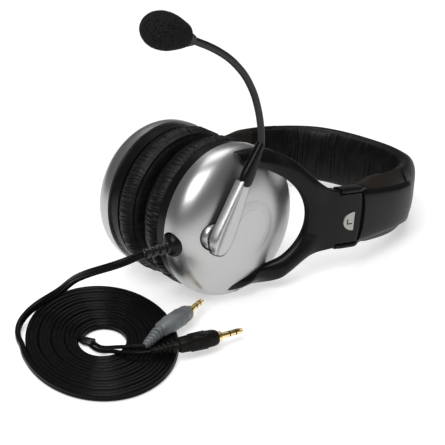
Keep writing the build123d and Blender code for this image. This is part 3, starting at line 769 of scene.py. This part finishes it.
# ------------ yokes
CUP_R = 48.0
SKIRT_H = 2.5
CROWN_H = 21.5
DOME_POWER = 2.4
LOOP_CENTRE = -4.0
LOOP_LONG = 44.0
LOOP_HIGH = 34.2
YOKE_ARM = [(-8.2, 43.7), (-3.8, 44.1), (1, 44.3), (9, 44.0), (17, 43.0), (24.5, 39.6), (31.5, 34.7),
            (38, 29.2), (44, 24.6), (50, 21.4), (55.5, 19.6), (60.2, 18.8)]
YOKE_BLOCK = [(60.9, 16.4), (69, 16.4), (77.0, 16.4), (78.3, 12), (79.0, 6), (79.3, 0)]
ARM_SHIFT = {"left": 2.5, "right": -0.6}
ARM_TUCK = {"left": 0.0, "right": 0.06}
YOKE_TOP = [(-12, 14.2), (-8, 15.8), (0, 18.8), (10, 22.0), (22, 27.4), (34, 31.8), (46, 35.8), (58, 39.6),
            (66, 41.7), (80, 44.1)]
YOKE_EDGE = 1.5
YOKE_RIM = (0.0, 0.25, 0.7, YOKE_EDGE)      # columns across each rounded edge
YOKE_OVER_DOME = 3.3
YOKE_CROWN = 2.0
PIVOT_START = 38.0
PIVOT_END = 40.6
PIVOT_R = 2.0
WIDEN_FROM = radians(60)               # from here the inner edge opens to its angle at the tip
TIP_ANGLE = radians(90)


def dome_height(radius):
    share = min(max(radius, 0.0), CUP_R - 0.4) / CUP_R
    return SKIRT_H + CROWN_H * (1 - share ** DOME_POWER) ** (1 / DOME_POWER)


def yoke_height(u, f):
    """Outer surface of the yoke: it hugs the dome at the tips and rises to the hinge."""
    strip = curve_through(YOKE_TOP, u)
    hug = dome_height(hypot(u, f)) + YOKE_OVER_DOME
    return mix(min(strip, hug), strip, smooth_step((u - 8) / 20))


def yoke_stations():
    """Pairs of (inner edge, outer edge) of the yoke's plan, from the tip to the middle of the block."""
    arm = vectors(YOKE_ARM)
    block = vectors(YOKE_BLOCK)
    fine = 8
    outer = [spline_at(arm, k / fine) for k in range((len(arm) - 1) * fine + 1)]
    for a, b in zip([arm[-1]] + block, block):
        steps = max(int((b - a).length / 1.5), 1)
        outer += [a.lerp(b, k / steps) for k in range(1, steps + 1)]
    stations = []
    widest = atan2(outer[0].y, outer[0].x - LOOP_CENTRE)
    for spot in outer:
        angle = atan2(spot.y, spot.x - LOOP_CENTRE)
        if angle > WIDEN_FROM:
            angle = mix(WIDEN_FROM, TIP_ANGLE, (angle - WIDEN_FROM) / (widest - WIDEN_FROM))
        way = Vector((cos(angle), sin(angle)))
        reach = 1 / hypot(way.x / LOOP_LONG, way.y / LOOP_HIGH)
        stations.append((Vector((LOOP_CENTRE, 0)) + way * reach, spot))
    return stations


def yoke(side):
    """D-shaped yoke with soft edges, open towards the chin, ending in the hinge block."""
    half = yoke_stations()
    stations = [(a, b, 1) for a, b in half] + [(a, b, -1) for a, b in reversed(half[:-1])]
    edge = len(YOKE_RIM)
    steps = 12
    under = 6
    columns = 2 * edge + steps - 1

    def place(i, j):
        inner, outer, sign = stations[i]
        length = (outer - inner).length
        if j < edge:
            at = YOKE_RIM[j]
        elif j < edge + steps - 1:
            at = mix(YOKE_EDGE, length - YOKE_EDGE, (j - edge + 1) / steps)
        elif j < columns:
            at = length - YOKE_RIM[columns - 1 - j]
        else:
            at = length * (1 - (j - columns) / (under - 1))
        share = at / length
        u, f = inner.lerp(outer, share)
        f *= sign * (1 - ARM_TUCK[side] * (1 - smooth_step((u + 4) / 30)))
        crown = max(sin(pi * share), 0.0) ** 1.3 * (1 - smooth_step((u - 40) / 14))
        top = yoke_height(u, abs(f)) - 0.4 + YOKE_CROWN * crown
        if j < columns:
            gap = min(at, length - at, YOKE_EDGE)
            top -= YOKE_EDGE - sqrt(YOKE_EDGE ** 2 - (YOKE_EDGE - gap) ** 2)
        else:
            top -= 4.2 + 4.6 * smooth_step((u - 48) / 14)
        return on_cup(side, u, f + ARM_SHIFT[side] * (1 - smooth_step((u - 40) / 18)), top)

    obj = lattice(f"{side}_yoke_frame", len(stations), columns + under, place, cap=True)
    wear(obj, "black_plastic", f"{side}_yoke_arm", f"{side}_yoke")


def pivot_pins(side):
    """The two short pins on which the cup tilts, ending inside the yoke's arms."""
    pins = []
    profile = metres([(0, PIVOT_R), (PIVOT_END - PIVOT_START, PIVOT_R)])
    for sign in (-1, 1):
        start = on_cup(side, SWIVEL_X, sign * PIVOT_START, SWIVEL_Y - RIM_Y)
        pins.append(turned_piece("pin", start, F_AXIS * sign, profile, 24))
    wear(joined(f"{side}_tilt_pins", pins), "screw_steel", f"{side}_yoke_arm", f"{side}_pivot_pins")


BADGE_FLAT_U = 71.6
BADGE_RADIUS = 6.1
BADGE_MIDDLE = -1.7
BADGE_LONG = 1.3         # stretch of the half-round away from its flat side
LETTER_STROKES = {
    "left": [((69.9, -3.2), (66.6, -3.2)), ((66.6, -3.2), (66.6, -0.6))],
    "right": [((70.2, -3.2), (66.2, -3.2)), ((69.9, -3.2), (69.9, -0.6)), ((69.9, -0.6), (68.3, -0.6)),
              ((68.3, -0.6), (68.3, -3.2)), ((68.3, -2.1), (66.2, -0.3))],
}
STROKE_HALF = 0.35


def block_prism(name, side, outline, top, low):
    """Flat piece that follows the hinge block's outer face."""
    return prism(name, *([on_cup(side, u, f, yoke_height(u, abs(f)) + rise) for u, f in outline]
                         for rise in (top, low)))


def side_badge(side):
    """Half-round silver mark on the hinge block with a plain letter for the side."""
    steps = 24
    outline = []
    for k in range(steps + 1):
        angle = radians(90 + 180 * k / steps)
        outline.append((BADGE_FLAT_U + BADGE_LONG * BADGE_RADIUS * cos(angle),
                        BADGE_MIDDLE + BADGE_RADIUS * sin(angle)))
    plate = block_prism(f"{side}_mark", side, outline, 0.35, -0.6)
    wear(plate, "silver_badge", f"{side}_yoke_arm", f"{side}_badge")
    bars = []
    for stroke in LETTER_STROKES[side]:
        start, end = vectors(stroke)
        along = (end - start).normalized() * STROKE_HALF
        across = along.orthogonal()
        corners = [start - along + across, end + along + across, end + along - across, start - along - across]
        bars.append(block_prism("stroke", side, corners, 0.42, 0.0))
    wear(joined(f"{side}_letter", bars), "black_plastic", f"{side}_yoke_arm")


# ------------ end covers
COVER_START_U = 77.5
COVER_BULGE = 2.3
COVER_SECTION = [        # half of the closed section: (across, offset), from the outer middle inward
    (0, 1.5), (7, 1.45), (11.5, 1.2), (14.4, 0.8), (16.0, 0.2), (16.9, -0.7), (17.5, -1.7), (17.7, -2.6),
    (17.2, -3.2), (15.5, -2.3), (10, -1.5), (0, -1.2),
]
COVER_WIDTH = [(0, 1.0), (15, 0.92), (25, 0.88), (40, 0.83), (58, 0.80)]    # outer face only
EAR_START_U = 60.8
EAR_LONG = 21.5
EAR_HEIGHT = 4.3
LINER_END_U = 102.0
LINER_BACK = -9.0        # the crown towards the head starts here
SLOT_AT = 0.72           # share of the run to the liner's end
SLOT_ACROSS = 15.2
SLOT_DEEP = 1.8
LINER_SECTION = [
    (0, -8.4), (11, -8.2), (15.4, -2.6), (17.3, -2.9), (18.6, -4.6), (20.0, -6.6), (20.9, -8.2), (21.1, -9.4),
    (20.6, -10.6), (18.8, -12.4), (15.0, -13.8), (8, -14.8), (0, -15.0),
]
SCREW_HEAD = [(0, 2.1), (1.0, 2.1), (1.3, 1.7), (1.3, 0.8), (0.7, 0.7)]


def full_section(half):
    """Closed outline from its half: the middle points are not repeated."""
    return list(half) + [(-x, y) for x, y in reversed(half[1:-1])]


def cover_run(share, across):
    """Running length on the end cover; it starts in an arc round the hinge block."""
    bulge = COVER_BULGE * (1 - min(abs(across) / 16.6, 1.0) ** 2)
    return mix(COVER_START_U + bulge - KNUCKLE_X, MOUTH_RUN, share)


def hinge_ear(side, sign):
    """Soft-edged ear beside the hinge block, sinking into the cover at its end."""
    stations = []
    steps = 15
    for k in range(steps + 1):
        u = EAR_START_U + EAR_LONG * k / steps
        merge = smooth_step((u - 74) / 8)
        top = curve_through(YOKE_TOP, min(u, 78)) + 0.2 - 2.6 * merge
        grow = 0.55 + 0.45 * min(k / 2, 1.0)
        centre = on_cup(side, u, sign * (18.3 - 1.0 * merge), top - EAR_HEIGHT - 0.5 * (1 - grow))
        stations.append((centre, F_AXIS, Y_AXIS, 1.7, EAR_HEIGHT * (0.8 + 0.2 * grow), 3.4))
    return soft_bar("ear", stations, 28)


def end_cover(side):
    """Outer shell of the band's end, rolled over along both edges, with the two hinge ears."""
    section = full_section(COVER_SECTION)
    rows = 40

    def place(i, j):
        share = i / (rows - 1)
        across, offset = section[j]
        width = curve_through(COVER_WIDTH, MOUTH_RUN * share)
        offset -= 0.5 * smooth_step((share - 0.95) / 0.05) ** 2
        return arch_place(side, cover_run(share, across), offset, across * width)

    pieces = [lattice("cover", rows, len(section), place, cap=True), hinge_ear(side, -1), hinge_ear(side, 1)]
    wear(joined(f"{side}_cover_shell", pieces), "black_plastic", f"{side}_slider", f"{side}_end_cover")


def liner_screws(side):
    """Two dark screw heads that hold the liner to the cover."""
    heads = []
    inward = Y_AXIS if side == "left" else -Y_AXIS
    for across in (-8.0, 8.0):
        foot = arch_place(side, run_at(LINER_END_U - 12.0), -14.0, across)
        heads.append(turned_piece("head", foot, inward, metres(SCREW_HEAD), 24))
    wear(joined(f"{side}_liner_screws", heads), "screw_steel", f"{side}_slider", f"{side}_cover_screws")


def end_liner(side):
    """Inner plate of the end cover, crowned towards the head, with the slot of the length adjustment."""
    section = full_section(LINER_SECTION)
    rows = 60

    def place(i, j):
        share = i / (rows - 1)
        across, offset = section[j]
        run = mix(cover_run(0, 17.0), MOUTH_RUN, share)
        face = smooth_step((offset + 8.5) / 7.0)
        flare = 0.06 - 0.12 * (1 - smooth_step(share / 0.35))
        width = 1 + (curve_through(COVER_WIDTH, run) - 1) * face + flare * (1 - face)
        if offset < LINER_BACK:
            near = run / run_at(LINER_END_U)
            crown = 0.35 + 0.95 * smooth_step((near - 0.15) / 0.7)
            crown *= 1 - 0.75 * smooth_step((near - 1.0) / 0.12)
            slot = exp(-((near - SLOT_AT) / 0.2) ** 6 - ((across - SLOT_ACROSS) / 1.1) ** 4)
            offset = LINER_BACK + (offset - LINER_BACK) * crown + SLOT_DEEP * slot
        return arch_place(side, run, offset, across * width)

    obj = lattice(f"{side}_liner_plate", rows, len(section), place, cap=True)
    wear(obj, "dark_liner", f"{side}_slider", f"{side}_end_liner")


# ------------ padded band
SQUEEZE_LONG = 42.0      # from a cover's mouth to the band's full form
SQUEEZE_DEEP = 1.3
BAND_LIFT = (0.8, 1.4)   # towards the face: everywhere, and added in the middle


def band_form(across, offset, run):
    """Width and depth of the padded band: slimmer and set back at the covers, lifted towards the face."""
    full = smooth_step(min(run - MOUTH_RUN, 2 * HALF_RUN - MOUTH_RUN - run) / SQUEEZE_LONG)
    face = smooth_step((offset + 7.5) / 8.0)
    width = 1 - 0.05 * full - 0.2 * face * (1 - full)
    return across * width + BAND_LIFT[0] + BAND_LIFT[1] * full, offset - SQUEEZE_DEEP * (1 - full)


BAND_SECTION = [
    (0, 0.0), (8, -0.1), (13, -0.4), (17, -1.1), (19.6, -2.6), (21.0, -5.0), (21.2, -7.6), (20.2, -10.2),
    (18.2, -11.8), (16.4, -11.9), (15.6, -10.4), (0, -10.4),
]
PAD_SECTION = [
    (0, -8.6), (12, -8.6), (18.4, -8.8), (19.8, -9.6), (19.9, -10.8), (18.6, -12.4), (14.5, -13.8),
    (8, -14.8), (0, -15.0),
]
PAD_BACK = -8.8
FOLD_MARGIN = 12.0       # plain length at each end of the pad
FOLD_REACH = 4.0


def finer(section, steps):
    """Closed section with extra points between the given ones, rounded through them."""
    points = vectors(full_section(section))
    return [spline_at(points, k / steps, closed=True) for k in range(len(points) * steps)]


def band_skin():
    """Smooth outer skin of the band, rolled over both edges onto the inner side."""
    section = finer(BAND_SECTION, 3)
    rows = 420
    start = MOUTH_RUN - 4.0
    end = 2 * HALF_RUN - start

    def place(i, j):
        run = mix(start, end, i / (rows - 1))
        across, offset = section[j]
        ripple = 0.22 * terrain.noise(Vector((run * 0.05, across * 0.09, offset * 0.1)))
        if offset < -5:
            ripple += 0.16 * terrain.noise(Vector((run * 0.6, across * 0.05, 4.0)))
        across, offset = band_form(across, offset + ripple, run)
        return arch_place("left", run, offset, across)

    obj = lattice("band_skin", rows, len(section), place, cap=True)
    wear(obj, "leatherette", "headband", "band_cover")


def pad_folds(start, end):
    """Place, width, depth, middle, reach and skew of each fold across the pad."""
    source = random.Random(5)
    folds = []
    at = start + FOLD_MARGIN
    while at < end - FOLD_MARGIN:
        folds.append((at, source.uniform(0.4, 0.75), source.uniform(0.35, 1.0), source.uniform(-6, 6),
                      source.uniform(9, 18), source.uniform(-0.025, 0.025)))
        at += source.uniform(1.5, 2.9)
    return folds


def band_pad():
    """Inner pad: full in the middle, gathered in many fine folds, plain at its ends."""
    section = finer(PAD_SECTION, 4)
    rows = 1000
    start = run_at(LINER_END_U) + 0.6
    end = 2 * HALF_RUN - start
    runs = [mix(start, end, i / (rows - 1)) for i in range(rows)]
    folds = pad_folds(start, end)
    near = [[fold for fold in folds if abs(run - fold[0]) < FOLD_REACH] for run in runs]

    def place(i, j):
        run = runs[i]
        across, offset = section[j]
        taper = smooth_step((run - start) / 26.0) * smooth_step((end - run) / 26.0)
        rounded = min((run - start) / 5.0, (end - run) / 5.0, 1.0)
        rounded = sqrt(max(1 - (1 - rounded) ** 2, 0.0))
        if offset < -10:
            total = 0.0
            for centre, width, deep, middle, reach, skew in near[i]:
                gap = (run - centre - skew * across) / width
                if abs(gap) < 3:
                    total += deep * exp(-((across - middle) / reach) ** 4 - gap * gap)
            soft = 0.55 * terrain.noise(Vector((run * 0.09, across * 0.06, 8.0)))
            offset += (total * 0.95 + soft) * taper
            offset = PAD_BACK + (offset - PAD_BACK) * (0.1 + 0.9 * rounded)
        across, offset = band_form(across, offset, run)
        return arch_place("left", run, offset, across)

    obj = lattice("band_pad", rows, len(section), place, cap=True)
    wear(obj, "leatherette", "headband", "headband_cushion")


# ------------ domes and boom hub
CROWN_R = 18.0
HUB_U = -27.5
HUB_FOOT = 14.4
HUB_PROFILE = [          # (height above the recess floor, radius)
    (0, 8.0), (5.6, 8.0), (6.8, 7.8), (7.8, 7.1), (8.5, 5.8), (8.9, 4.0), (9.0, 2.0), (9.02, 0.0),
]


def dome_crown(side):
    """Thin skin over the middle of the dome, which sinks into the shell at its rim."""
    rings = 16
    sides = 64

    def place(i, j):
        share = i / (rings - 1)
        radius = CROWN_R * share
        x, y = circle(j, sides)
        return on_cup(side, radius * x, radius * y, dome_height(radius) + 0.26 - 0.33 * share ** 4)

    wear(lattice(f"{side}_dome_crown", rings, sides, place), "silver_plastic", f"{side}_cup")


def boom_turntable():
    """Round-topped silver hub that turns in the shell's recess."""
    foot = on_cup("left", HUB_U, 0, HUB_FOOT)
    obj = turned_piece("boom_turntable", foot, -Y_AXIS, metres(HUB_PROFILE), 64)
    wear(obj, "silver_plastic", "boom", "boom_hub")


# ------------ boom
BOOM_T = 27.2            # height of the boom's line above the rim plane
ARM_LEFT = [(0, Vector((-17.0, 34.2))), (0.45, Vector((-26.4, 17.0))), (0.8, Vector((-34.0, 2.6))),
            (1.0, Vector((-36.6, -7.0)))]
ARM_RIGHT = [(0, Vector((-4.6, 33.6))), (0.3, Vector((-8.2, 21.0))), (0.6, Vector((-12.2, 7.6))),
             (0.85, Vector((-16.8, -5.4))), (1.0, Vector((-20.2, -13.6)))]
ARM_PROFILE = [          # (share across, height above the rim plane)
    (0.0, 24.3), (0.01, 25.4), (0.05, 27.6), (0.09, 29.0), (0.14, 29.5), (0.2, 29.3), (0.3, 28.2),
    (0.42, 26.9), (0.52, 26.2), (0.62, 26.0), (0.8, 25.9), (0.93, 25.8), (0.98, 25.6), (1.0, 24.3),
]
ARM_LOW = 24.5
ARM_FOOT_WAY = Vector((-0.45, -0.89))
COLLAR_FORMS = (         # (share of length, half width, half height)
    (0.0, 1.2, 1.2), (0.015, 3.0, 2.2), (0.05, 4.2, 2.8), (0.12, 4.9, 3.1), (0.3, 4.8, 3.1), (0.6, 3.7, 2.9),
    (0.85, 2.8, 2.7), (0.97, 2.45, 2.5), (1.0, 2.15, 2.2),
)
BUSHING_FORMS = (        # (length in millimetres, half width, half height)
    (0, 7.3, 6.2), (4.6, 7.2, 6.1), (6.3, 6.8, 5.7), (7.6, 5.8, 4.9), (8.4, 4.3, 4.0), (8.6, 3.0, 3.0),
)


def arm_sheet(name, grow, lift, ceiling):
    """Closed body on the arm's outline; grow moves its right edge and foot out, ceiling bounds its top."""
    rows = 60
    top = len(ARM_PROFILE)
    under = 4

    def place(i, j):
        share = i / (rows - 1)
        left = curve_through(ARM_LEFT, share)
        right = curve_through(ARM_RIGHT, share)
        across = ARM_PROFILE[j][0] if j < top else 1 - (j - top + 1) / (under + 1)
        height = min(ARM_PROFILE[j][1] + lift, ceiling) if j < top else ARM_LOW
        rest = min((1 - share) / 0.2, 1.0)
        pinch = sqrt(max(1 - (1 - rest) ** 2, 0.0))
        out = (right - left).normalized() * max(2 * across - 1, 0.0) + ARM_FOOT_WAY * (1 - rest)
        spot = left.lerp(right, 0.5 + (across - 0.5) * (0.12 + 0.88 * pinch)) + out * grow
        return on_cup("left", spot.x, spot.y, mix(ARM_LOW, height, 0.25 + 0.75 * pinch))

    return lattice(name, rows, top + under, place, cap=True)


def boom_arm():
    """Silver arm: a raised spine along one side of a flat flange, with a thin black sheet under its edge and foot
    that paints their shadow line on the shell.
    """
    wear(arm_sheet("boom_blade", 0.0, 0.3, 40.0), "silver_plastic", "boom", "boom_arm")
    # painted shadow: a black copy of the arm, grown a little past its right edge and foot, shows as a dark shadow
    # line where the arm meets the shell
    wear(arm_sheet("boom_painted_shadow_line", 0.55, 0.0, 25.8), "black_plastic", "boom")


def boom_collar():
    """Black flattened sleeve that grips the neck and runs into the arm."""
    start = on_cup("left", -13.4, 30.2, BOOM_T)
    run = on_cup("left", -1.9, 54.6, BOOM_T) - start
    across = run.cross(Y_AXIS).normalized()
    obj = straight_bar("boom_sleeve", start, run, across, Y_AXIS, COLLAR_FORMS, 2.6, 36)
    wear(obj, "black_plastic", "boom", "boom_collar")


def cable_bushing():
    """Black oval bushing where the lead leaves the shell."""
    start = on_cup("left", -41.8, -6.0, 6.6)
    axis = (LEAD_EXIT - start).normalized()
    across = axis.cross(Y_AXIS).normalized()
    obj = straight_bar("cable_bushing", start, axis * MM, across, across.cross(axis), BUSHING_FORMS, 2.2, 40)
    wear(obj, "black_plastic", "left_cup", "cable_gland")


# ------------ microphone
SOCK_TAIL = (-60.0, 119.6)
SOCK_END = (-94.0, 127.8)
SOCK_EDGE = [            # (distance from the neck's end, radius)
    (6.4, 2.6), (5.4, 3.4), (5.2, 4.6), (5.8, 5.9), (7.6, 6.9), (10.2, 7.8), (13.4, 8.8), (17.0, 9.7),
    (21.0, 10.1), (25.0, 9.8), (28.8, 8.6), (31.9, 6.5), (33.9, 4.1), (35.0, 1.8), (35.3, 0.05),
]
SOCK_PORES = ((0.16, 14), (0.12, 31))       # (depth, fineness)


def windscreen():
    """Pear-shaped foam sock with an uneven, open surface and a rolled hem."""
    tail = on_cup("left", *SOCK_TAIL, BOOM_T)
    axis = (on_cup("left", *SOCK_END, BOOM_T) - tail).normalized()
    across = axis.orthogonal().normalized()
    other = axis.cross(across)
    edge = vectors(SOCK_EDGE)
    rows = 90
    columns = 140

    def place(i, j):
        station = (len(edge) - 1) * i / (rows - 1)
        along, radius = spline_at(edge, station)
        x, y = circle(j, columns)
        around = Vector((x, y, station * 0.5))
        rough = sum(deep * terrain.noise(around * scale) for deep, scale in SOCK_PORES)
        radius = max(radius + rough * min(radius / 4, 1), 0.02)
        return tail + (axis * along + (across * x + other * y) * radius) * MM

    obj = lattice("mic_sock", rows, columns, place, cap=True)
    wear(obj, "foam", "boom", "windscreen")


# ------------ stage, light and camera
def stage():
    bpy.ops.mesh.primitive_plane_add(size=12, location=(0, 0, -0.0002))
    floor = bpy.context.object
    floor.name = "studio_floor"
    floor.data.materials.append(studio_floor())


def area_light(name, place, target, size, power):
    data = bpy.data.lights.new(name, "AREA")
    data.shape = "SQUARE"
    data.size = size
    data.energy = power
    light = add_object(name, data)
    light.location = place
    light.rotation_euler = (Vector(target) - Vector(place)).to_track_quat("-Z", "Y").to_euler()


def lights():
    world = bpy.data.worlds.new("studio")
    bpy.context.scene.world = world
    world.use_nodes = True
    background = world.node_tree.nodes["Background"]
    background.inputs["Color"].default_value = (1, 1, 1, 1)
    background.inputs["Strength"].default_value = 0.1
    bpy.context.scene.view_settings.view_transform = "Standard"
    area_light("key", (-0.72, -0.42, 1.3), (-0.04, -0.02, 0.05), 1.05, 21)
    area_light("top", (0.5, 0.5, 1.5), (0.0, 0.0, 0.05), 1.0, 9)


CAMERA_PLACE = (-459.3, -490.9, 344.5)      # in millimetres
CAMERA_BACK = (-0.59446, -0.67592, 0.43560)
CAMERA_RIGHT = (0.73482, -0.67662, -0.04711)
LENS = 90.8


def camera():
    data = bpy.data.cameras.new("camera")
    data.lens = LENS
    data.clip_start = 0.01
    data.clip_end = 50
    back = Vector(CAMERA_BACK).normalized()
    right = Vector(CAMERA_RIGHT)
    right = (right - back * right.dot(back)).normalized()
    matrix = Matrix((right, back.cross(right), back)).transposed().to_4x4()
    matrix.translation = Vector(CAMERA_PLACE) * MM
    obj = add_object("camera", data)
    obj.matrix_world = matrix
    bpy.context.scene.camera = obj


camera()
lights()
stage()
dress_cad()
cords()
for cup_side in SIDES:
    for build in (ear_cushion, yoke, pivot_pins, side_badge, end_cover, end_liner, liner_screws):
        build(cup_side)
for cup_side in SIDES:
    dome_crown(cup_side)
for build in (band_skin, band_pad, boom_turntable, boom_arm, boom_collar, cable_bushing, windscreen):
    build()
